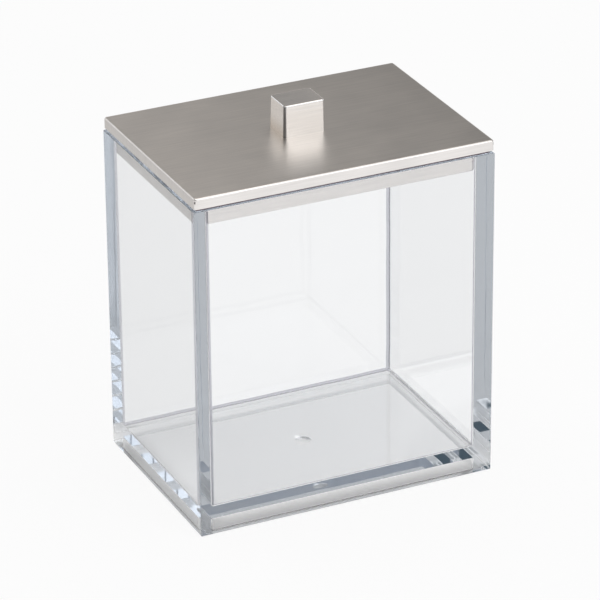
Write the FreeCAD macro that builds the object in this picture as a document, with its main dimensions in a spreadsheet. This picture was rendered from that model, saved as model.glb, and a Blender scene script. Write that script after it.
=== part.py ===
import FreeCAD, Part
import os
import Sketcher

# A clear, thick-walled moulded box with a lift-off lid, in millimetres.
#
# Frame: +Z up, origin at the middle of the underside that the box stands on,
# X along the wide front face, Y from front to back.
#
# box_body      one-piece clear moulding: four walls that run down past a floor plate as a foot
# lid_shell     brushed sheet-steel cover with a turned-down rim
# lid_core      moulded core inside the cover; its seat rests on the mouth of the box
# lid_pan       brushed sheet-steel pan over the core's plug; it centres the lid in the mouth
# knob          die-cast block with a tapped hole and a locating spigot
# knob_screw    pan-head screw that clamps pan, core, cover and knob together
# knob_washer   flat washer under the screw's head

DRIVING_DIMENSIONS = [
    # alias, value, what it is
    ("box_length", 127.0, "outside, along X"),
    ("box_width", 88.5, "outside, along Y"),
    ("box_height", 138.5, "underside to mouth"),
    ("wall_thickness", 6.0, "side walls"),
    ("floor_height", 10.0, "underside of the foot to the inner floor"),
    ("hollow_depth", 5.0, "hollow under the floor, inside the foot"),
    ("hollow_fillet", 0.3, "roof of that hollow to the foot"),
    ("outer_corner_radius", 0.25, "upright outside edges"),
    ("inner_corner_radius", 1.1, "upright inside edges"),
    ("floor_fillet", 1.1, "inner floor to wall"),
    ("foot_radius", 0.5, "outside and inside edges of the foot"),
    ("mouth_radius", 0.4, "outside and inside edges of the mouth"),
    ("gate_radius", 3.3, "round dish left by the moulding gate, under the floor"),
    ("gate_depth", 0.4, "depth of that dish"),
    ("gate_flat_radius", 1.5, "flat middle of that dish"),
    ("gate_fillet", 2.0, "sloping side to that flat"),
    ("rim_inset", 0.2, "cover inside the outline of the box, each side"),
    ("rim_height", 4.4, "depth of the cover's rim"),
    ("rim_gap", 1.1, "rim's lower edge above the mouth"),
    ("rim_corner_radius", 1.2, "upright corners of the rim"),
    ("bend_radius", 0.9, "outside radius of the bend round the cover's top"),
    ("cover_sheet", 0.6, "sheet of the cover"),
    ("relief_width", 0.5, "corner relief slot, across the corner"),
    ("relief_height", 1.0, "corner relief slot, upwards"),
    ("relief_drop", 2.1, "lower end of the slot below the top of the cover"),
    ("core_clearance", 0.1, "glue gap between the core and the sheets, each side"),
    ("seat_inset", 1.2, "core's seat inside the rim's outline, each side"),
    ("core_wall", 1.8, "moulded walls of the core"),
    ("core_roof", 2.0, "roof of the core under the cover"),
    ("rib_thickness", 1.2, "ribs under the roof"),
    ("rib_clearance", 0.6, "ribs stop short of the pan"),
    ("ribs_across", 8, "number of ribs that run front to back"),
    ("ribs_along", 5, "number of ribs that run left to right"),
    ("boss_radius", 6.0, "screw boss in the middle of the core"),
    ("plug_depth", 7.9, "underside of the pan below the mouth"),
    ("plug_clearance", 0.5, "between the pan and the inner walls, each side"),
    ("pan_sheet", 0.5, "sheet of the pan"),
    ("pan_corner_radius", 1.4, "upright corners of the pan"),
    ("pan_bend_radius", 0.9, "outside radius of the bend round the pan's floor"),
    ("pan_edge_gap", 0.15, "pan's upper edge below the core's seat"),
    ("knob_length", 17.8, "knob at its foot, along X"),
    ("knob_width", 14.0, "knob at its foot, along Y"),
    ("knob_height", 13.2, "knob above the cover"),
    ("knob_draft_angle", 1.5, "degrees that the knob's sides lean in"),
    ("knob_corner_radius", 1.2, "upright edges of the knob"),
    ("knob_top_radius", 0.5, "edges round the knob's top"),
    ("thread_radius", 2.0, "tapped hole in the knob"),
    ("thread_depth", 9.0, "depth of the tapped hole"),
    ("shank_radius", 1.95, "screw shank"),
    ("shank_length", 20.0, "screw under its head"),
    ("head_radius", 4.0, "screw head"),
    ("head_height", 2.6, "screw head"),
    ("head_crown", 1.0, "radius round the head's crown"),
    ("recess_span", 4.4, "cross recess, tip to tip"),
    ("recess_slot", 1.0, "cross recess, width of a slot"),
    ("recess_depth", 1.6, "cross recess"),
    ("washer_radius", 4.5, "washer, outside"),
    ("washer_thickness", 0.8, "washer"),
    ("screw_hole_radius", 2.2, "clearance hole for the screw"),
    ("spigot_radius", 1.0, "locating spigot under the knob"),
    ("spigot_length", 2.0, "locating spigot under the knob"),
    ("spigot_hole_radius", 1.15, "hole for the spigot"),
    ("spigot_offset", 5.6, "spigot from the screw, along X"),
]

CORNERS = ((1, 1), (-1, 1), (-1, -1), (1, -1))
NEAR = 1e-3

doc = FreeCAD.newDocument("lidded_box")
sheet = doc.addObject("Spreadsheet::Sheet", "dims")
size = {}
for row, (alias, value, meaning) in enumerate(DRIVING_DIMENSIONS, start=1):
    sheet.set(f"A{row}", alias)
    sheet.set(f"B{row}", str(value))
    sheet.set(f"C{row}", meaning)
    sheet.setAlias(f"B{row}", alias)
    size[alias] = value
doc.recompute()


def bind(target, name, formula):
    """Drive one property by a formula whose aliases are cells of the sheet."""
    for alias in sorted(size, key=len, reverse=True):
        formula = formula.replace("@" + alias, "dims." + alias)
    target.setExpression(name, formula)


def new_body(label, height="0"):
    """A sub-part, its own origin lifted to a height above the underside of the box."""
    body = doc.addObject("PartDesign::Body", label)
    body.Label = label
    bind(body, "Placement.Base.z", height)
    return body


def new_sketch(body, name, height="0", plane="XY_Plane"):
    """A sketch on one of the body's own origin planes, moved along that plane's normal."""
    sketch = body.newObject("Sketcher::SketchObject", name)
    origin_plane = next(f for f in body.Origin.OriginFeatures if f.Role == plane)
    sketch.AttachmentSupport = [(origin_plane, "")]
    sketch.MapMode = "FlatFace"
    bind(sketch, "AttachmentOffset.Base.z", height)
    return sketch


def rounded_rectangle(body, name, length, width, radius, height="0"):
    """A sketch of a rectangle centred on the origin, with four equal corner arcs."""
    sketch = new_sketch(body, name, height)
    half_x, half_y, corner = 20.0, 10.0, 1.0
    up = FreeCAD.Vector(0, 0, 1)
    quarter = 1.5707963267948966
    for index, (sx, sy) in enumerate(CORNERS):
        centre = FreeCAD.Vector(sx * (half_x - corner), sy * (half_y - corner), 0)
        arc = Part.ArcOfCircle(Part.Circle(centre, up, corner), index * quarter, (index + 1) * quarter)
        sketch.addGeometry(arc)
    ends = [(sketch.Geometry[i].EndPoint, sketch.Geometry[(i + 1) % 4].StartPoint) for i in range(4)]
    for start, end in ends:
        sketch.addGeometry(Part.LineSegment(start, end))
    for i in range(4):
        line = 4 + i
        sketch.addConstraint(Sketcher.Constraint("Tangent", i, 2, line, 1))
        sketch.addConstraint(Sketcher.Constraint("Tangent", line, 2, (i + 1) % 4, 1))
        sketch.addConstraint(Sketcher.Constraint("Horizontal" if i % 2 == 0 else "Vertical", line))
    for i in range(1, 4):
        sketch.addConstraint(Sketcher.Constraint("Equal", 0, i))
    sketch.addConstraint(Sketcher.Constraint("Symmetric", 0, 3, 2, 3, -1, 1))
    sizes = (
        ("length", Sketcher.Constraint("DistanceX", 5, 1, 7, 1, 2 * half_x), length),
        ("width", Sketcher.Constraint("DistanceY", 6, 1, 4, 1, 2 * half_y), width),
        ("radius", Sketcher.Constraint("Radius", 0, corner), radius),
    )
    for label, constraint, formula in sizes:
        index = sketch.addConstraint(constraint)
        sketch.renameConstraint(index, label)
        bind(sketch, "Constraints." + label, formula)
    return sketch


def circle(body, name, radius, offset="0", height="0"):
    """A sketch of one circle on the X axis, at an offset from the origin."""
    sketch = new_sketch(body, name, height)
    sketch.addGeometry(Part.Circle(FreeCAD.Vector(1, 0, 0), FreeCAD.Vector(0, 0, 1), 1.0))
    sketch.addConstraint(Sketcher.Constraint("PointOnObject", 0, 3, -1))
    index = sketch.addConstraint(Sketcher.Constraint("Radius", 0, 1.0))
    sketch.renameConstraint(index, "radius")
    bind(sketch, "Constraints.radius", radius)
    if offset == "0":
        sketch.addConstraint(Sketcher.Constraint("PointOnObject", 0, 3, -2))
    else:
        index = sketch.addConstraint(Sketcher.Constraint("DistanceX", -1, 1, 0, 3, 1.0))
        sketch.renameConstraint(index, "offset")
        bind(sketch, "Constraints.offset", offset)
    return sketch


def rectangle(body, name, length, width, height="0"):
    """A sketch of a plain rectangle centred on the origin."""
    sketch = new_sketch(body, name, height)
    corners = [FreeCAD.Vector(2 * sx, sy, 0) for sx, sy in CORNERS]
    for i in range(4):
        sketch.addGeometry(Part.LineSegment(corners[i], corners[(i + 1) % 4]))
    for i in range(4):
        sketch.addConstraint(Sketcher.Constraint("Coincident", i, 2, (i + 1) % 4, 1))
        sketch.addConstraint(Sketcher.Constraint("Horizontal" if i % 2 == 0 else "Vertical", i))
    sketch.addConstraint(Sketcher.Constraint("Symmetric", 0, 1, 2, 1, -1, 1))
    sizes = (
        ("length", Sketcher.Constraint("DistanceX", 0, 2, 0, 1, 4.0), length),
        ("width", Sketcher.Constraint("DistanceY", 1, 2, 1, 1, 2.0), width),
    )
    for label, constraint, formula in sizes:
        index = sketch.addConstraint(constraint)
        sketch.renameConstraint(index, label)
        bind(sketch, "Constraints." + label, formula)
    return sketch


def outline(body, name, points, sizes):
    """A closed sketch on the XZ plane; each point's x and z are bound to formulas."""
    sketch = new_sketch(body, name, plane="XZ_Plane")
    vectors = [FreeCAD.Vector(x, z, 0) for x, z in points]
    for i, start in enumerate(vectors):
        sketch.addGeometry(Part.LineSegment(start, vectors[(i + 1) % len(vectors)]))
    for i in range(len(vectors)):
        sketch.addConstraint(Sketcher.Constraint("Coincident", i, 2, (i + 1) % len(vectors), 1))
    for i, (x_formula, z_formula) in enumerate(sizes):
        for axis, formula, place in (("x", x_formula, vectors[i].x), ("z", z_formula, vectors[i].y)):
            if formula == "0":
                sketch.addConstraint(Sketcher.Constraint("PointOnObject", i, 1, -2 if axis == "x" else -1))
                continue
            kind = "DistanceX" if axis == "x" else "DistanceY"
            index = sketch.addConstraint(Sketcher.Constraint(kind, -1, 1, i, 1, place))
            sketch.renameConstraint(index, f"{axis}{i}")
            bind(sketch, f"Constraints.{axis}{i}", formula)
    return sketch


def pad(body, sketch, length, reverse=False, draft=None):
    """Material added from a sketch; a draft makes the sides lean in."""
    feature = body.newObject("PartDesign::Pad", sketch.Name + "_pad")
    feature.Profile = sketch
    feature.Reversed = reverse
    bind(feature, "Length", length)
    if draft:
        bind(feature, "TaperAngle", draft)
    doc.recompute()
    return feature


def pocket(body, sketch, length, reverse=False):
    """Material removed from a sketch; it stops the build if nothing is removed."""
    before = body.Tip.Shape.Volume
    feature = body.newObject("PartDesign::Pocket", sketch.Name + "_pocket")
    feature.Profile = sketch
    feature.Reversed = reverse
    bind(feature, "Length", length)
    doc.recompute()
    if not feature.Shape.Volume < before - NEAR:
        raise RuntimeError(sketch.Name + " removes nothing")
    return feature


def revolve(body, sketch, kind):
    """A full turn of a sketch about the body's own Z axis, as a Revolution or a Groove."""
    feature = body.newObject("PartDesign::" + kind, sketch.Name + "_turned")
    feature.Profile = sketch
    z_axis = next(f for f in body.Origin.OriginFeatures if f.Role == "Z_Axis")
    feature.ReferenceAxis = (z_axis, [""])
    feature.Angle = 360.0
    doc.recompute()
    return feature


def spread(body, rib, axis, length, count):
    """Copies of a rib, spread evenly along one of the body's own axes."""
    pattern = body.newObject("PartDesign::LinearPattern", rib.Name + "_row")
    pattern.Originals = [rib]
    direction = next(f for f in body.Origin.OriginFeatures if f.Role == axis)
    pattern.Direction = (direction, [""])
    bind(pattern, "Length", length)
    bind(pattern, "Occurrences", count)
    before = body.Tip.Shape.Volume
    body.Tip = pattern
    doc.recompute()
    if not pattern.Shape.Volume > before + NEAR:
        raise RuntimeError(pattern.Name + " adds nothing")
    return pattern


def edges_at(shape, height):
    """Names of the edges that lie level at a height."""
    names = []
    for number, edge in enumerate(shape.Edges, start=1):
        box = edge.BoundBox
        if abs(box.ZMin - height) < NEAR and abs(box.ZMax - height) < NEAR:
            names.append(f"Edge{number}")
    return names


def fillet(body, name, edge_names, radius):
    """Round the named edges of the body's last feature."""
    base = body.Tip
    feature = body.newObject("PartDesign::Fillet", name)
    feature.Base = (base, edge_names)
    bind(feature, "Radius", radius)
    doc.recompute()
    return feature


def make_box_body():
    """Four walls that run down past the floor as a foot, and the gate's shallow dish under the floor."""
    body = new_body("box_body")
    outside = rounded_rectangle(
        body, "box_outside", "@box_length", "@box_width", "@outer_corner_radius"
    )
    pad(body, outside, "@box_height")
    inner_size = ("@box_length - 2 * @wall_thickness", "@box_width - 2 * @wall_thickness")
    hollow = rounded_rectangle(body, "base_hollow", *inner_size, "@inner_corner_radius")
    pocket(body, hollow, "@hollow_depth", reverse=True)
    roof_edges = edges_at(body.Tip.Shape, size["hollow_depth"])
    fillet(body, "roof_edges", roof_edges, "@hollow_fillet")
    fillet(body, "foot_edges", edges_at(body.Tip.Shape, 0.0), "@foot_radius")
    inside = rounded_rectangle(body, "box_inside", *inner_size, "@inner_corner_radius", "@box_height")
    pocket(body, inside, "@box_height - @floor_height")
    floor_edges = edges_at(body.Tip.Shape, size["floor_height"])
    fillet(body, "floor_edges", floor_edges, "@floor_fillet")
    fillet(body, "mouth_edges", edges_at(body.Tip.Shape, size["box_height"]), "@mouth_radius")
    dish = outline(
        body,
        "gate_mark",
        [(0, 5.4), (1.5, 5.4), (3.3, 5), (3.3, 4.6), (0, 4.6)],
        [
            ("0", "@hollow_depth + @gate_depth"),
            ("@gate_flat_radius", "@hollow_depth + @gate_depth"),
            ("@gate_radius", "@hollow_depth"),
            ("@gate_radius", "@hollow_depth - @gate_depth"),
            ("0", "@hollow_depth - @gate_depth"),
        ],
    )
    before = body.Tip.Shape.Volume
    revolve(body, dish, "Groove")
    if not body.Tip.Shape.Volume < before - NEAR:
        raise RuntimeError("the gate mark removes nothing")
    flat_edges = edges_at(body.Tip.Shape, size["hollow_depth"] + size["gate_depth"])
    fillet(body, "gate_edges", flat_edges, "@gate_fillet")
    return body


def make_lid_shell():
    """Sheet cover: a flat top, a bent edge and a rim, with a relief slot at each folded corner."""
    body = new_body("lid_shell", "@box_height + @rim_gap")
    length = "@box_length - 2 * @rim_inset"
    width = "@box_width - 2 * @rim_inset"
    pad(body, rounded_rectangle(body, "cover_outside", length, width, "@rim_corner_radius"), "@rim_height")
    fillet(body, "cover_bend", edges_at(body.Tip.Shape, size["rim_height"]), "@bend_radius")
    inside = rounded_rectangle(
        body,
        "cover_inside",
        length + " - 2 * @cover_sheet",
        width + " - 2 * @cover_sheet",
        "@rim_corner_radius - @cover_sheet",
    )
    pocket(body, inside, "@rim_height - @cover_sheet", reverse=True)
    roof = size["rim_height"] - size["cover_sheet"]
    fillet(body, "cover_inner_bend", edges_at(body.Tip.Shape, roof), "@bend_radius - @cover_sheet")
    pocket(body, circle(body, "cover_screw_hole", "@screw_hole_radius"), "@rim_height", reverse=True)
    spigot_hole = circle(body, "cover_spigot_hole", "@spigot_hole_radius", "@spigot_offset")
    pocket(body, spigot_hole, "@rim_height", reverse=True)
    for number, (sx, sy) in enumerate(CORNERS):
        before = body.Tip.Shape.Volume
        slot = body.newObject("PartDesign::SubtractiveBox", f"corner_relief_{number}")
        bind(slot, "Length", "4 * @cover_sheet")
        bind(slot, "Width", "@relief_width")
        bind(slot, "Height", "@relief_height")
        slot.Placement.Rotation = FreeCAD.Rotation(FreeCAD.Vector(0, 0, 1), 45 + 90 * number)
        # the slot's inner end lies on the corner's diagonal, two sheets in from the outline
        inner_x = sx * (size["box_length"] / 2 - size["rim_inset"] - 2 * size["cover_sheet"])
        inner_y = sy * (size["box_width"] / 2 - size["rim_inset"] - 2 * size["cover_sheet"])
        aside = slot.Placement.Rotation.multVec(FreeCAD.Vector(0, -size["relief_width"] / 2, 0))
        bind(slot, "Placement.Base.z", "@rim_height - @relief_drop")
        slot.Placement.Base.x = inner_x + aside.x
        slot.Placement.Base.y = inner_y + aside.y
        doc.recompute()
        if not body.Tip.Shape.Volume < before - NEAR:
            raise RuntimeError(slot.Name + " removes nothing")
    return body


def make_lid_core():
    """Moulded core: a deck inside the cover, a seat on the box's mouth and a cored, ribbed plug."""
    body = new_body("lid_core", "@box_height")
    inset = "2 * (@rim_inset + @cover_sheet + @core_clearance)"
    deck = rounded_rectangle(
        body,
        "core_deck",
        "@box_length - " + inset,
        "@box_width - " + inset,
        "@rim_corner_radius - @cover_sheet",
        "@rim_gap",
    )
    pad(body, deck, "@rim_height - @cover_sheet - @core_clearance")
    # the deck's upper edges are eased to clear the bend inside the cover
    deck_top = size["rim_gap"] + size["rim_height"] - size["cover_sheet"] - size["core_clearance"]
    fillet(body, "core_deck_edges", edges_at(body.Tip.Shape, deck_top), "@bend_radius - @cover_sheet")
    seat_inset = "2 * (@rim_inset + @seat_inset)"
    seat = rounded_rectangle(
        body,
        "core_seat",
        "@box_length - " + seat_inset,
        "@box_width - " + seat_inset,
        "@rim_corner_radius - @cover_sheet",
    )
    pad(body, seat, "@rim_gap")
    plug_inset = "2 * (@wall_thickness + @plug_clearance + @pan_sheet + @core_clearance)"
    plug_depth = "@plug_depth - @pan_sheet - @core_clearance"
    plug = rounded_rectangle(
        body,
        "core_plug",
        "@box_length - " + plug_inset,
        "@box_width - " + plug_inset,
        "@pan_corner_radius - @pan_sheet",
    )
    pad(body, plug, plug_depth, reverse=True)
    plug_bottom = -(size["plug_depth"] - size["pan_sheet"] - size["core_clearance"])
    fillet(
        body,
        "core_plug_edges",
        edges_at(body.Tip.Shape, plug_bottom),
        "@pan_bend_radius - @pan_sheet + @core_clearance",
    )
    coring = rounded_rectangle(
        body,
        "core_coring",
        "@box_length - " + plug_inset + " - 2 * @core_wall",
        "@box_width - " + plug_inset + " - 2 * @core_wall",
        "@core_wall",
        "-(" + plug_depth + ")",
    )
    roof_underside = "@rim_gap + @rim_height - @cover_sheet - @core_clearance - @core_roof"
    pocket(body, coring, plug_depth + " + " + roof_underside, reverse=True)
    rib_foot = plug_depth + " - @rib_clearance"
    cored_length = "(@box_length - " + plug_inset + " - 2 * @core_wall)"
    cored_width = "(@box_width - " + plug_inset + " - 2 * @core_wall)"
    rib_rows = (
        ("core_rib_across", "@rib_thickness", cored_width + " + @core_wall", "X", cored_length, "@ribs_across"),
        ("core_rib_along", cored_length + " + @core_wall", "@rib_thickness", "Y", cored_width, "@ribs_along"),
    )
    for name, length, width, axis, span, count in rib_rows:
        # equal cells between the ribs and the walls
        pitch = f"(({span} + @rib_thickness) / ({count} + 1))"
        rib = rectangle(body, name, length, width, "-(" + rib_foot + ")")
        first = f"-{pitch} * ({count} - 1) / 2"
        bind(rib, f"AttachmentOffset.Base.{axis.lower()}", first)
        rib_pad = pad(body, rib, rib_foot + " + " + roof_underside)
        spread(body, rib_pad, axis + "_Axis", f"{pitch} * ({count} - 1)", count)
    boss = circle(body, "core_boss", "@boss_radius", height="-(" + plug_depth + ")")
    pad(body, boss, plug_depth + " + " + roof_underside)
    through = plug_depth + " + @rim_gap + @rim_height"
    screw_hole = circle(body, "core_screw_hole", "@screw_hole_radius", height="-(" + plug_depth + ")")
    pocket(body, screw_hole, through, reverse=True)
    spigot_hole = circle(
        body, "core_spigot_hole", "@spigot_hole_radius", "@spigot_offset", "@rim_gap + @rim_height"
    )
    pocket(body, spigot_hole, "@cover_sheet + @core_clearance + @spigot_length")
    return body


def make_lid_pan():
    """Pressed sheet pan that covers the plug's sides and underside."""
    body = new_body("lid_pan", "@box_height - @plug_depth")
    inset = "2 * (@wall_thickness + @plug_clearance)"
    outside = rounded_rectangle(
        body, "pan_outside", "@box_length - " + inset, "@box_width - " + inset, "@pan_corner_radius"
    )
    pad(body, outside, "@plug_depth - @pan_edge_gap")
    fillet(body, "pan_bend", edges_at(body.Tip.Shape, 0.0), "@pan_bend_radius")
    inside = rounded_rectangle(
        body,
        "pan_inside",
        "@box_length - " + inset + " - 2 * @pan_sheet",
        "@box_width - " + inset + " - 2 * @pan_sheet",
        "@pan_corner_radius - @pan_sheet",
        "@pan_sheet",
    )
    pocket(body, inside, "@plug_depth", reverse=True)
    pan_floor = edges_at(body.Tip.Shape, size["pan_sheet"])
    fillet(body, "pan_inner_bend", pan_floor, "@pan_bend_radius - @pan_sheet")
    pocket(body, circle(body, "pan_screw_hole", "@screw_hole_radius"), "@plug_depth", reverse=True)
    return body


def make_knob():
    """Die-cast block with draft, rounded edges, a tapped blind hole and a locating spigot."""
    body = new_body("knob", "@box_height + @rim_gap + @rim_height")
    foot = rounded_rectangle(body, "knob_foot", "@knob_length", "@knob_width", "@knob_corner_radius")
    pad(body, foot, "@knob_height", draft="-@knob_draft_angle")
    if body.Tip.Shape.Volume > size["knob_length"] * size["knob_width"] * size["knob_height"]:
        raise RuntimeError("the knob's draft leans out")
    fillet(body, "knob_top_edges", edges_at(body.Tip.Shape, size["knob_height"]), "@knob_top_radius")
    pad(body, circle(body, "knob_spigot", "@spigot_radius", "@spigot_offset"), "@spigot_length", reverse=True)
    pocket(body, circle(body, "knob_thread", "@thread_radius"), "@thread_depth", reverse=True)
    return body


def make_knob_screw():
    """Pan-head screw with a cross recess; its head's flat side is at the sub-part's origin."""
    body = new_body("knob_screw", "@box_height - @plug_depth - @washer_thickness")
    profile = outline(
        body,
        "screw_profile",
        [(0, -2.6), (4, -2.6), (4, 0), (1.95, 0), (1.95, 19), (1.2, 20), (0, 20)],
        [
            ("0", "-@head_height"),
            ("@head_radius", "-@head_height"),
            ("@head_radius", "0"),
            ("@shank_radius", "0"),
            ("@shank_radius", "@shank_length - @shank_radius / 2"),
            ("@shank_radius / 2", "@shank_length"),
            ("0", "@shank_length"),
        ],
    )
    revolve(body, profile, "Revolution")
    fillet(body, "head_crown_edge", edges_at(body.Tip.Shape, -size["head_height"]), "@head_crown")
    slots = (
        ("recess_along", "@recess_span", "@recess_slot"),
        ("recess_across", "@recess_slot", "@recess_span"),
    )
    for name, length, width in slots:
        pocket(body, rectangle(body, name, length, width, "-@head_height"), "@recess_depth", reverse=True)
    return body


def make_knob_washer():
    """Flat washer, its lower face at the sub-part's origin."""
    body = new_body("knob_washer", "@box_height - @plug_depth - @washer_thickness")
    pad(body, circle(body, "washer_outside", "@washer_radius"), "@washer_thickness")
    pocket(body, circle(body, "washer_hole", "@screw_hole_radius"), "@washer_thickness", reverse=True)
    return body


sub_parts = [
    make_box_body(),
    make_lid_shell(),
    make_lid_core(),
    make_lid_pan(),
    make_knob(),
    make_knob_screw(),
    make_knob_washer(),
]
doc.recompute()

for item in doc.Objects:
    faults = [state for state in item.State if state in ("Invalid", "Error")]
    if faults:
        raise RuntimeError(f"{item.Label}: {faults}")
for part in sub_parts:
    if part.Shape.isNull() or not part.Shape.isValid() or len(part.Shape.Solids) != 1:
        raise RuntimeError(part.Label + " is not one valid solid")

os.makedirs("parts", exist_ok=True)
for part in sub_parts:
    part.Shape.exportStep(f"parts/{part.Label}.step")
    box = part.Shape.BoundBox
    print(f"{part.Label:12s} {part.Shape.Volume / 1000:8.2f} cm3  z {box.ZMin:7.2f} to {box.ZMax:7.2f}")
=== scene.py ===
import math

import bpy
from mathutils import Matrix, Vector


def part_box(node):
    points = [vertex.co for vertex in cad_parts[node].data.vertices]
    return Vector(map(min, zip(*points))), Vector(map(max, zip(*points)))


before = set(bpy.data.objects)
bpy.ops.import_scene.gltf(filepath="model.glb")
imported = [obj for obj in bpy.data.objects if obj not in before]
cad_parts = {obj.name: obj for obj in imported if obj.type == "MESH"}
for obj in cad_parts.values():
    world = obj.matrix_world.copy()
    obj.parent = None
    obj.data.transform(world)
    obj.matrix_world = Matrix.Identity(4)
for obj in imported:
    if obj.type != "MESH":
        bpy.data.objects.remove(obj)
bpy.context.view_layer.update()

# ---------------------------------------------------------------------------
# The box: one thick moulding in polished clear acrylic. Its walls run on below
# the floor as a foot, whose inner sides are left satin. Light is carried along
# inside the walls and comes out grey at the corners.
# ---------------------------------------------------------------------------
ACRYLIC_IOR = 1.49
ABSORBED_PER_METRE = (4.4, 3.8, 3.1)
ABSORPTION_DENSITY = 20.0
RIPPLE_LENGTH = 0.022
RIPPLE_HEIGHT = 0.00004
RIPPLE_DETAIL = 1.0
SOFT_STEP = 0.0002
WALL_THICKNESS = 0.006
FLOOR_TOP = 0.0100
HOLLOW_ROOF = 0.0049
FOOT_EDGE = 0.0005
FOOT_INSIDE_ROUGHNESS = 0.35
BACK_CONTACT = 0.70
RIGHT_CONTACT = 0.40
INSIDE_FILLET = 0.0011
# Painted shade: the rounded inside edges are tinted darker and bluer.
FILLET_PAINTED_SHADE = (0.36, 0.36, 0.42)
FILLET_ROUGHNESS = 0.25
RIGHT_FILLET_SHARE = 0.55
GATE = (0.0, 0.0, 0.0)
GATE_PLAN = (1.0, 1.0, 0.0)
GATE_RADIUS = 0.0033
GATE_ROOF = 0.0056
GATE_ROUGHNESS = 0.30
# The painted glint, a glowing spot, is twice as long in y as in x, so its place and radius are taken with y
# halved.
PAINTED_GLINT_PLACE = (-0.0009, 0.0016, 0.0)
PAINTED_GLINT_PLAN = (1.0, 0.5, 0.0)
PAINTED_GLINT_RADIUS = 0.0015
PAINTED_GLINT_BLEND = 0.0010
PAINTED_GLINT_GLOW = (0.36, 0.36, 0.37)
NO_GLOW = (0.0, 0.0, 0.0)
UNTINTED = (1.0, 1.0, 1.0)


class Wire:
    """One output socket. Arithmetic on wires and numbers adds Math nodes to the same tree."""

    def __init__(self, socket):
        self.socket = socket

    def combined(self, operation, first, second):
        tree = self.socket.id_data
        node = tree.nodes.new("ShaderNodeMath")
        node.operation = operation
        for slot, value in zip(node.inputs, (first, second)):
            if isinstance(value, Wire):
                tree.links.new(value.socket, slot)
            else:
                slot.default_value = value
        return Wire(node.outputs[0])

    def __add__(self, other):
        return self.combined("ADD", self, other)

    def __radd__(self, other):
        return self.combined("ADD", other, self)

    def __sub__(self, other):
        return self.combined("SUBTRACT", self, other)

    def __rsub__(self, other):
        return self.combined("SUBTRACT", other, self)

    def __mul__(self, other):
        return self.combined("MULTIPLY", self, other)

    def __rmul__(self, other):
        return self.combined("MULTIPLY", other, self)


class Finish:
    """The node tree of a material or of the world, built one node at a time."""

    def __init__(self, owner):
        owner.use_nodes = True
        self.tree = owner.node_tree
        self.tree.nodes.clear()

    def node(self, kind, settings=None, sockets=None, output=0):
        """Adds a node: its settings first, then the value or wire of each socket. Returns one output."""
        node = self.tree.nodes.new(kind)
        for name, value in (settings or {}).items():
            if name == "stops":
                ramp = node.color_ramp
                while len(ramp.elements) < len(value):
                    ramp.elements.new(1.0)
                for element, (position, colour) in zip(ramp.elements, value):
                    element.position = position
                    element.color = (*colour, 1.0)
            else:
                setattr(node, name, value)
        for name, value in (sockets or {}).items():
            if isinstance(value, Wire):
                self.tree.links.new(value.socket, node.inputs[name])
            else:
                node.inputs[name].default_value = value
        return Wire(node.outputs[output]) if node.outputs else node


def rgba(colour):
    """A colour with full alpha, as colour sockets take it."""
    return (*colour, 1.0)


def maths(finish, operation, *values):
    """Maths that has no sign of its own in Python, such as the greater of two numbers."""
    return finish.node("ShaderNodeMath", {"operation": operation}, dict(enumerate(values)))


def place_parts(finish):
    """Object coordinates as three numbers: x, y and height."""
    place = {0: finish.node("ShaderNodeTexCoord", output="Object")}
    return [finish.node("ShaderNodeSeparateXYZ", sockets=place, output=axis) for axis in "XYZ"]


def stretched(finish, scale):
    """Object coordinates multiplied by a number per axis, so that a pattern runs along an axis."""
    place = finish.node("ShaderNodeTexCoord", output="Object")
    return finish.node("ShaderNodeVectorMath", {"operation": "MULTIPLY"}, {0: place, 1: scale})


def distance_to(finish, middle, place):
    """How far a place is from a middle."""
    return finish.node("ShaderNodeVectorMath", {"operation": "DISTANCE"}, {0: place, 1: middle}, "Value")


def below(finish, value, edge, blend=SOFT_STEP):
    """1 where a value is under an edge, 0 over it, with a short soft step between."""
    return finish.node(
        "ShaderNodeMapRange",
        {"interpolation_type": "SMOOTHSTEP"},
        {"Value": value, "From Min": edge - blend, "From Max": edge, "To Min": 1.0, "To Max": 0.0},
    )


def mixed(finish, share, first, second):
    """A blend of two colours, each of them a wire or plain numbers."""
    first, second = (part if isinstance(part, Wire) else rgba(part) for part in (first, second))
    sockets = {"Factor": share, 6: first, 7: second}
    return finish.node("ShaderNodeMix", {"data_type": "RGBA"}, sockets, output=2)


def noise(finish, size, detail):
    """Noise from 0 to 1 whose blotches measure the given size along each axis, in metres."""
    scale = tuple(1 / part for part in size)
    sockets = {"Vector": stretched(finish, scale), "Scale": 1.0, "Detail": detail}
    return finish.node("ShaderNodeTexNoise", sockets=sockets)


def relief(finish, pattern, depth):
    """A normal bent as if the pattern stood out of the surface by up to a depth in metres."""
    return finish.node("ShaderNodeBump", sockets={"Height": pattern, "Strength": 1.0, "Distance": depth})


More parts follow.
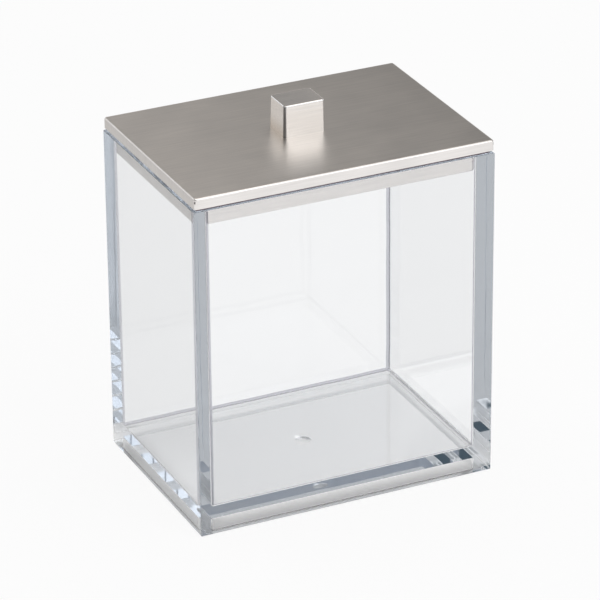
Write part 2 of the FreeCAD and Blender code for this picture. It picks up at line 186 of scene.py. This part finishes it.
def clear_acrylic(outside):
    """Polished acrylic: refraction, a faint ripple, and absorption by the length of the way through.

    Some places aren't polished. The inner sides of the foot and the gate's dish under the floor are
    satin. By the gate a painted glint glows: a small spot under the floor that gives off light of its
    own. The rounded inside edges are darker, which is painted shade in their colour, but for the
    floor's at the left end. At the back, and less on the right, the foot stands so close on the table
    that light goes straight through its underside.
    """
    material = bpy.data.materials.new("clear_acrylic")
    finish = Finish(material)
    x, y, height = place_parts(finish)
    away_x, away_y = maths(finish, "ABSOLUTE", x), maths(finish, "ABSOLUTE", y)
    inner_x, inner_y = outside[0] - WALL_THICKNESS, outside[1] - WALL_THICKNESS
    in_x = below(finish, away_x, outside[0] - WALL_THICKNESS / 2)
    in_y = below(finish, away_y, outside[1] - WALL_THICKNESS / 2)
    satin = in_x * in_y * below(finish, height, HOLLOW_ROOF)
    in_gate = below(finish, height, GATE_ROOF)
    from_gate = distance_to(finish, GATE, stretched(finish, GATE_PLAN))
    dish = below(finish, from_gate, GATE_RADIUS) * in_gate
    from_painted_glint = distance_to(finish, PAINTED_GLINT_PLACE, stretched(finish, PAINTED_GLINT_PLAN))
    painted_glint = below(finish, from_painted_glint, PAINTED_GLINT_RADIUS, PAINTED_GLINT_BLEND) * in_gate
    near_x = 1 - below(finish, away_x, inner_x - INSIDE_FILLET)
    near_y = 1 - below(finish, away_y, inner_y - INSIDE_FILLET)
    near_right = 1 - below(finish, x, inner_x - INSIDE_FILLET)
    near_floor = below(finish, height, FLOOR_TOP + INSIDE_FILLET)
    over_floor = 1 - below(finish, height, FLOOR_TOP)
    pairs = near_y * (near_x + near_floor) + near_right * near_floor * RIGHT_FILLET_SHARE
    rounded = maths(finish, "MINIMUM", pairs, 1.0) * in_x * in_y * over_floor
    before_right = below(finish, x, inner_x)
    before_back = below(finish, y, inner_y)
    past_front = 1 - below(finish, y, -inner_y)
    share = (1 - before_back) * BACK_CONTACT + before_back * (1 - before_right) * RIGHT_CONTACT
    contact = share * past_front * below(finish, height, FOOT_EDGE)
    surface = finish.node(
        "ShaderNodeBsdfPrincipled",
        sockets={
            # Painted shade in the rounded inside edges.
            "Base Color": mixed(finish, rounded, UNTINTED, FILLET_PAINTED_SHADE),
            "Roughness": satin * FOOT_INSIDE_ROUGHNESS + dish * GATE_ROUGHNESS + rounded * FILLET_ROUGHNESS,
            "IOR": ACRYLIC_IOR,
            "Transmission Weight": 1.0,
            "Alpha": 1 - contact,
            # Painted glint: the small spot by the gate glows, though it is no lamp.
            "Emission Color": mixed(finish, painted_glint, NO_GLOW, PAINTED_GLINT_GLOW),
            "Emission Strength": 1.0,
            "Normal": relief(finish, noise(finish, (RIPPLE_LENGTH,) * 3, RIPPLE_DETAIL), RIPPLE_HEIGHT),
        },
    )
    kept = tuple(1 - absorbed / ABSORPTION_DENSITY for absorbed in ABSORBED_PER_METRE)
    volume = finish.node(
        "ShaderNodeVolumeAbsorption", sockets={"Color": rgba(kept), "Density": ABSORPTION_DENSITY}
    )
    finish.node("ShaderNodeOutputMaterial", sockets={"Surface": surface, "Volume": volume})
    return material


def finish_node(name, material):
    """Gives a carried-over piece its one material."""
    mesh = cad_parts[name].data
    mesh.materials.clear()
    mesh.materials.append(material)


finish_node("box_body", clear_acrylic(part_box("box_body")[1]))

# ---------------------------------------------------------------------------
# The cover of the lid: stainless sheet, brushed lengthways, bent down into a
# rim all round and folded at the corners, where small relief slots show.
# ---------------------------------------------------------------------------
STEEL = (0.86, 0.83, 0.81)
# Painted shade: the flat top and the ends are darker than the long sides, for how the light falls on them.
STEEL_TOP_WITH_PAINTED_SHADE = (0.66, 0.61, 0.555)
STEEL_END_WITH_PAINTED_SHADE = (0.80, 0.765, 0.735)
COVER_ROUGHNESS = 0.36
# Painted shade: the cover's top gets darker from left to right.
COVER_PAINTED_DRIFT = 0.20
STREAK_LENGTH = 0.02
STREAK_WIDTH = 0.00070
STREAK_HEIGHT = 0.000026
STREAK_DETAIL = 3.0
STREAK_SHADE = 0.22
CLOUD_SIZE = 0.018
CLOUD_DETAIL = 2.0
CLOUD_SHADE = 0.16
CLOUD_SHEEN = 0.08
NOISE_MIDDLE = 0.5


def brushed_steel(
    name, box, roughness, colours=(STEEL, STEEL_TOP_WITH_PAINTED_SHADE, STEEL_END_WITH_PAINTED_SHADE), painted_drift=0.0, upright=False, painted_corner=None
):
    """Brushed sheet steel: fine streaks along x in the relief and the shade, and a cloudy sheen.

    The streaks run over the ends of the piece from top to bottom, as the sheet was brushed before
    it was bent, and an upright finish has them so all over. The three colours are those of the long
    sides, of the flat top and of the ends; where the top and end colours are darker, that is painted
    shade. Drift is painted shade too: how much darker the top gets from the middle to the right.
    Corner is a painted dark strip on the upright corners at the left end: their width, how much the
    sides lean in for each metre of height, and how much darker they are.
    """
    material = bpy.data.materials.new(name)
    finish = Finish(material)
    x, y, height = place_parts(finish)
    away_x, away_y = maths(finish, "ABSOLUTE", x), maths(finish, "ABSOLUTE", y)
    end = 1 - below(finish, away_x, box[1][0])
    top = 1 - below(finish, height, box[1][2])
    streaks = noise(finish, (STREAK_WIDTH, STREAK_WIDTH, STREAK_LENGTH), STREAK_DETAIL)
    if not upright:
        along_x = noise(finish, (STREAK_LENGTH, STREAK_WIDTH, STREAK_WIDTH), STREAK_DETAIL)
        streaks = along_x * (1 - end) + streaks * end
    clouds = noise(finish, (CLOUD_SIZE,) * 3, CLOUD_DETAIL)
    shade = (streaks - NOISE_MIDDLE) * STREAK_SHADE + (clouds - NOISE_MIDDLE) * CLOUD_SHADE + 1.0
    # Painted shade: the top gets darker towards the right.
    if painted_drift:
        shade = shade - x * top * (painted_drift / box[1][0])
    # Painted shade: a dark strip on the upright corners at the left end.
    if painted_corner:
        width, lean, darker = painted_corner
        leaned = (height - box[0][2]) * lean
        at_left = below(finish, x - leaned, width - box[1][0])
        at_side = 1 - below(finish, away_y + leaned, box[1][1] - width)
        shade = shade * (1 - at_left * at_side * (1 - top) * darker)
    side_colour, top_colour, end_colour = colours
    # The top and end colours carry painted shade.
    tone = mixed(finish, top, mixed(finish, end, side_colour, end_colour), top_colour)
    surface = finish.node(
        "ShaderNodeBsdfPrincipled",
        sockets={
            "Base Color": finish.node(
                "ShaderNodeVectorMath", {"operation": "SCALE"}, {0: tone, "Scale": shade}
            ),
            "Metallic": 1.0,
            "Roughness": (clouds - NOISE_MIDDLE) * CLOUD_SHEEN + roughness,
            "Normal": relief(finish, streaks, STREAK_HEIGHT),
        },
    )
    finish.node("ShaderNodeOutputMaterial", sockets={"Surface": surface})
    return material


cover_steel = brushed_steel("cover_steel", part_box("lid_shell"), COVER_ROUGHNESS, painted_drift=COVER_PAINTED_DRIFT)
finish_node("lid_shell", cover_steel)

# ---------------------------------------------------------------------------
# The core of the lid: a ribbed moulding in grey plastic under the cover. Its
# seat lies on the mouth of the box and shows in the gap below the rim.
# ---------------------------------------------------------------------------
CORE_GREY = (0.27, 0.22, 0.26)
CORE_ROUGHNESS = 0.45
GRAIN_SIZE = 0.0006
GRAIN_HEIGHT = 0.000008
GRAIN_DETAIL = 2.0
GRAIN_SHADE = 0.06
GRAIN_SHEEN = 0.1


def moulded_plastic(name, colour, roughness):
    """Matt moulded plastic with a fine grain, in the relief, the shade and the sheen."""
    material = bpy.data.materials.new(name)
    finish = Finish(material)
    grain = noise(finish, (GRAIN_SIZE,) * 3, GRAIN_DETAIL)
    dark, light = (tuple(part * shade for part in colour) for shade in (1 - GRAIN_SHADE, 1 + GRAIN_SHADE))
    surface = finish.node(
        "ShaderNodeBsdfPrincipled",
        sockets={
            "Base Color": mixed(finish, grain, dark, light),
            "Roughness": grain * GRAIN_SHEEN + roughness,
            "Normal": relief(finish, grain, GRAIN_HEIGHT),
        },
    )
    finish.node("ShaderNodeOutputMaterial", sockets={"Surface": surface})
    return material


finish_node("lid_core", moulded_plastic("core_plastic", CORE_GREY, CORE_ROUGHNESS))

# ---------------------------------------------------------------------------
# The pan of the lid: thin brushed sheet over the plug, glued to the core. Its
# sides show through the clear walls as a silvery band below the rim.
# ---------------------------------------------------------------------------
PAN_ROUGHNESS = 0.30
finish_node("lid_pan", brushed_steel("pan_steel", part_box("lid_pan"), PAN_ROUGHNESS))

# ---------------------------------------------------------------------------
# The knob: a square-cornered block, die-cast with 1.5 degrees of draft, ground
# and satin plated, held by one screw from below.
# ---------------------------------------------------------------------------
# Painted shade: the knob's top and ends are darker and warmer than its long sides.
KNOB_SIDE = (0.87, 0.87, 0.88)
KNOB_TOP_WITH_PAINTED_SHADE = (0.75, 0.69, 0.62)
KNOB_END_WITH_PAINTED_SHADE = (0.71, 0.665, 0.625)
KNOB_ROUGHNESS = 0.22
# Painted shade: a dark strip on the knob's upright corners at the left end.
KNOB_CORNER_WIDTH = 0.0009
KNOB_LEAN = 0.0262
KNOB_CORNER_PAINTED_SHADE = 0.52
knob_plating = brushed_steel(
    "knob_plating",
    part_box("knob"),
    KNOB_ROUGHNESS,
    (KNOB_SIDE, KNOB_TOP_WITH_PAINTED_SHADE, KNOB_END_WITH_PAINTED_SHADE),
    painted_corner=(KNOB_CORNER_WIDTH, KNOB_LEAN, KNOB_CORNER_PAINTED_SHADE),
)
finish_node("knob", knob_plating)

# ---------------------------------------------------------------------------
# The screw and its washer, in bright plated steel. The screw goes up through
# the pan, the core and the cover into the knob.
# ---------------------------------------------------------------------------
SCREW_STEEL = (0.72, 0.72, 0.74)
SCREW_ROUGHNESS = 0.16
WASHER_STEEL = (0.62, 0.62, 0.64)
WASHER_ROUGHNESS = 0.28
screw_plating = brushed_steel(
    "screw_plating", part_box("knob_screw"), SCREW_ROUGHNESS, (SCREW_STEEL,) * 3, upright=True
)
finish_node("knob_screw", screw_plating)
washer_plating = brushed_steel(
    "washer_plating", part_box("knob_washer"), WASHER_ROUGHNESS, (WASHER_STEEL,) * 3
)
finish_node("knob_washer", washer_plating)

# ---------------------------------------------------------------------------
# The table of the studio: one pale matt surface that runs on to a white
# horizon. It glows a part of its white, as a table lit from below does. A
# painted shadow under the box and a painted grey shade behind it are set in that glow.
# ---------------------------------------------------------------------------
FLOOR_HALF = 8.0
FLOOR_LEVEL = -0.0001
FLOOR_COLOUR = (0.90, 0.90, 0.90)
CAMERA_WHITE = 0.92
SEEN_SHARE = 0.85
# Painted shade: behind the box the floor is greyer to mirrored or wall-carried light.
GUIDED_PAINTED_SHADE = 0.66
ONE_MIRROR = 0.5
FRONT_EDGE = 0.05
FRONT_BLEND = 0.06
# Painted shadow under the box: the share of white there, less along its left and front edges.
UNDER_SHARE = 0.74
UNDER_EDGE_SHARE = 0.26
UNDER_SLOPE = (0.06, -0.02)
UNDER_BLEND = 0.002
RIM_OF_SHADE = 0.012


def floor_material():
    """Matt pale floor. To the camera it is nearly plain white, and keeps the shadow.

    Metal and glass see part of that white too. Behind the box it carries a painted grey shade for light
    that has been mirrored on its way, or carried along inside a wall. Seen straight through the glass,
    a patch under the box carries a painted shadow, darkest along its left and front edges.
    """
    material = bpy.data.materials.new("floor")
    finish = Finish(material)
    seen, mirrored, through, mirrors = (
        finish.node("ShaderNodeLightPath", output=output)
        for output in ("Is Camera Ray", "Is Glossy Ray", "Is Transmission Ray", "Glossy Depth")
    )
    x, y, _ = place_parts(finish)
    away_x, away_y = maths(finish, "ABSOLUTE", x), maths(finish, "ABSOLUTE", y)
    half_x, half_y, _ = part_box("box_body")[1]
    inner_x, inner_y = half_x - WALL_THICKNESS, half_y - WALL_THICKNESS
    under = below(finish, away_x, half_x, UNDER_BLEND) * below(finish, away_y, half_y, UNDER_BLEND)
    at_left = below(finish, x, RIM_OF_SHADE - inner_x, RIM_OF_SHADE)
    at_front = below(finish, y, RIM_OF_SHADE - inner_y, RIM_OF_SHADE)
    middle = (1 - at_left) * (1 - at_front)
    slope = x * (UNDER_SLOPE[0] / half_x) + y * (UNDER_SLOPE[1] / half_y)
    # Painted shadow under the box, darkest along its left and front edges.
    painted_shadow = middle * (UNDER_SHARE - UNDER_EDGE_SHARE + slope) + UNDER_EDGE_SHARE
    straight = maths(finish, "LESS_THAN", mirrors, ONE_MIRROR)
    painted_shadow = straight * painted_shadow + (1 - straight)
    front = below(finish, y, FRONT_EDGE, FRONT_BLEND)
    # Painted grey shade behind the box for light that was mirrored on its way.
    behind = straight * (1 - GUIDED_PAINTED_SHADE) + GUIDED_PAINTED_SHADE
    around = front + (1 - front) * behind
    plain = maths(finish, "MAXIMUM", seen, under)
    level = plain + (1 - plain) * around
    colour = finish.node("ShaderNodeCombineXYZ", sockets={"X": level, "Y": level, "Z": level})
    inside = maths(finish, "MAXIMUM", mirrored, through)
    share = seen * CAMERA_WHITE + inside * (under * painted_shadow + (1 - under) * SEEN_SHARE)
    matt = finish.node("ShaderNodeBsdfDiffuse", sockets={"Color": rgba(FLOOR_COLOUR)})
    white = finish.node("ShaderNodeEmission", sockets={"Color": colour, "Strength": 1.0})
    blend = finish.node("ShaderNodeMixShader", sockets={"Fac": share, 1: matt, 2: white})
    finish.node("ShaderNodeOutputMaterial", sockets={"Surface": blend})
    return material


floor_mesh = bpy.data.meshes.new("floor")
corners = [(x * FLOOR_HALF, y * FLOOR_HALF, FLOOR_LEVEL) for x, y in ((-1, -1), (1, -1), (1, 1), (-1, 1))]
floor_mesh.from_pydata(corners, [], [(0, 1, 2, 3)])
floor_mesh.materials.append(floor_material())
floor = bpy.data.objects.new("floor", floor_mesh)
scene = bpy.context.scene
scene.collection.objects.link(floor)

# ---------------------------------------------------------------------------
# The lamps: two large soft boxes, one in front on the right and a larger one
# right above. The camera doesn't see them.
# ---------------------------------------------------------------------------
AIM = Vector((0.0, 0.0, 0.08))
LAMPS = [
    # name, direction from the object, distance, width, height, radiance
    ("front_softbox", (0.36, -0.72, 0.60), 2.3, 1.8, 1.5, 1.45),
    ("top_softbox", (0.0, 0.0, 1.0), 2.3, 2.8, 2.8, 1.0),
]
for name, direction, distance, width, height, radiance in LAMPS:
    lamp = bpy.data.lights.new(name, "AREA")
    lamp.shape = "RECTANGLE"
    lamp.size = width
    lamp.size_y = height
    lamp.energy = radiance * math.pi * width * height
    holder = bpy.data.objects.new(name, lamp)
    towards = Vector(direction).normalized()
    holder.location = AIM + towards * distance
    holder.rotation_euler = towards.to_track_quat("Z", "Y").to_euler()
    holder.visible_camera = False
    scene.collection.objects.link(holder)

# ---------------------------------------------------------------------------
# The sky: white low down, greyer higher up and darker at the far left, with a
# white screen far back on the left. A small dark card on the screen draws the
# dark patches where the edges of the box end.
# ---------------------------------------------------------------------------
SKY_STOPS = [
    # sine of the elevation, colour
    (0.00, (1.0, 1.0, 1.0)),
    (0.10, (0.90, 0.89, 0.88)),
    (0.26, (0.38, 0.37, 0.36)),
    (0.38, (0.37, 0.37, 0.37)),
    (0.41, (0.31, 0.34, 0.39)),
    (0.47, (0.31, 0.34, 0.39)),
    (0.50, (0.36, 0.36, 0.37)),
    (0.62, (0.31, 0.30, 0.29)),
    (1.00, (0.40, 0.40, 0.40)),
]
LOW_EDGE = 0.30
LOW_BLEND = 0.20
LEFT_EDGE = -0.50
LEFT_BLEND = 0.25
LEFT_STRENGTH = 0.35
BACK_SCREEN = (-0.42, 0.80, 0.42)
BACK_SCREEN_RADIUS = 0.25
BACK_SCREEN_BLEND = 0.06
BACK_SCREEN_COLOUR = (1.25, 1.25, 1.25)
DARK_CARD = (-0.416, 0.783, 0.480)
DARK_CARD_RADIUS = 0.024
DARK_CARD_BLEND = 0.004
DARK_CARD_COLOUR = (0.03, 0.07, 0.10)
sky = bpy.data.worlds.new("sky")
scene.world = sky
finish = Finish(sky)
direction = finish.node("ShaderNodeTexCoord", output="Generated")
aside, height = (
    finish.node("ShaderNodeSeparateXYZ", sockets={0: direction}, output=axis) for axis in "XZ"
)
low = below(finish, height, LOW_EDGE, LOW_BLEND)
dark_side = below(finish, aside, LEFT_EDGE, LEFT_BLEND) * (1 - low)
off_screen = distance_to(finish, BACK_SCREEN, direction)
screen = below(finish, off_screen, BACK_SCREEN_RADIUS, BACK_SCREEN_BLEND)
off_card = distance_to(finish, DARK_CARD, direction)
card = below(finish, off_card, DARK_CARD_RADIUS, DARK_CARD_BLEND)
open_sky = finish.node("ShaderNodeValToRGB", {"stops": SKY_STOPS}, {"Fac": height})
with_screen = mixed(finish, screen, open_sky, BACK_SCREEN_COLOUR)
with_card = mixed(finish, card, with_screen, DARK_CARD_COLOUR)
strength = 1 - dark_side * (1 - screen) * (1 - LEFT_STRENGTH)
background = finish.node("ShaderNodeBackground", sockets={"Color": with_card, "Strength": strength})
finish.node("ShaderNodeOutputWorld", sockets={"Surface": background})

# Light that is carried round inside the walls needs many bounces to get out again.
INSIDE_BOUNCES = 32
scene.cycles.max_bounces = INSIDE_BOUNCES
scene.cycles.transmission_bounces = INSIDE_BOUNCES
scene.cycles.glossy_bounces = INSIDE_BOUNCES

# ---------------------------------------------------------------------------
# The camera: a long lens, left of the front and above, so that the front, the
# left side and the lid show.
# ---------------------------------------------------------------------------
CAMERA_AZIMUTH = math.radians(-24.958)
CAMERA_ELEVATION = math.radians(25.803)
CAMERA_ROLL = math.radians(-0.553)
CAMERA_PLACE = (-0.59537, -1.28005, 0.75237)
CAMERA_LENS = 237.06
SENSOR = 36.0
back = Vector((
    math.sin(CAMERA_AZIMUTH) * math.cos(CAMERA_ELEVATION),
    -math.cos(CAMERA_AZIMUTH) * math.cos(CAMERA_ELEVATION),
    math.sin(CAMERA_ELEVATION),
))
level = Vector((math.cos(CAMERA_AZIMUTH), math.sin(CAMERA_AZIMUTH), 0.0))
upright = back.cross(level)
right = math.cos(CAMERA_ROLL) * level + math.sin(CAMERA_ROLL) * upright
up = math.cos(CAMERA_ROLL) * upright - math.sin(CAMERA_ROLL) * level
camera_data = bpy.data.cameras.new("camera")
camera_data.sensor_width = SENSOR
camera_data.lens = CAMERA_LENS
camera = bpy.data.objects.new("camera", camera_data)
scene.collection.objects.link(camera)
turned = Matrix((right, up, back)).transposed().to_4x4()
camera.matrix_world = Matrix.Translation(CAMERA_PLACE) @ turned
scene.camera = camera
scene.view_settings.view_transform = "Standard"
